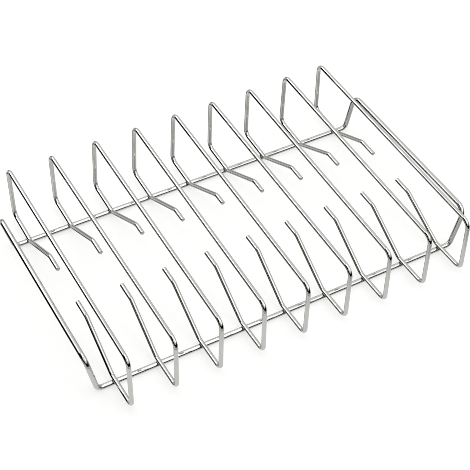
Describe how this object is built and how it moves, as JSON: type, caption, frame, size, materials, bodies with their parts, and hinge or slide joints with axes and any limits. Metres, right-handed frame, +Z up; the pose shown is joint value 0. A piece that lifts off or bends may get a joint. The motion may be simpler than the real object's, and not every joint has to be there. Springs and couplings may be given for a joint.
{
  "type": "wire rib rack",
  "caption": "Plated wire rack of upright looped wires on two rails, with raised end grips, to hold racks of ribs on edge.",
  "frame": {"origin": "on the surface that the rails stand on, in the middle of the rack's length and width", "axes": "+X along the rails, from the left raised end to the right one; +Y across the rails; +Z up"},
  "size_m": [0.3882, 0.2588, 0.0693],
  "materials": {
    "frame_plating": "bright nickel and chromium plate on drawn steel wire",
    "rib_plating": "bright nickel and chromium plate on drawn steel wire"
  },
  "bodies": {
    "root": {"frame_wire": "frame_plating", "rib_wire_1": "rib_plating", "rib_wire_2": "rib_plating", "rib_wire_3": "rib_plating", "rib_wire_4": "rib_plating", "rib_wire_5": "rib_plating", "rib_wire_6": "rib_plating", "rib_wire_7": "rib_plating", "rib_wire_8": "rib_plating", "rib_wire_9": "rib_plating"}
  },
  "joints": []
}
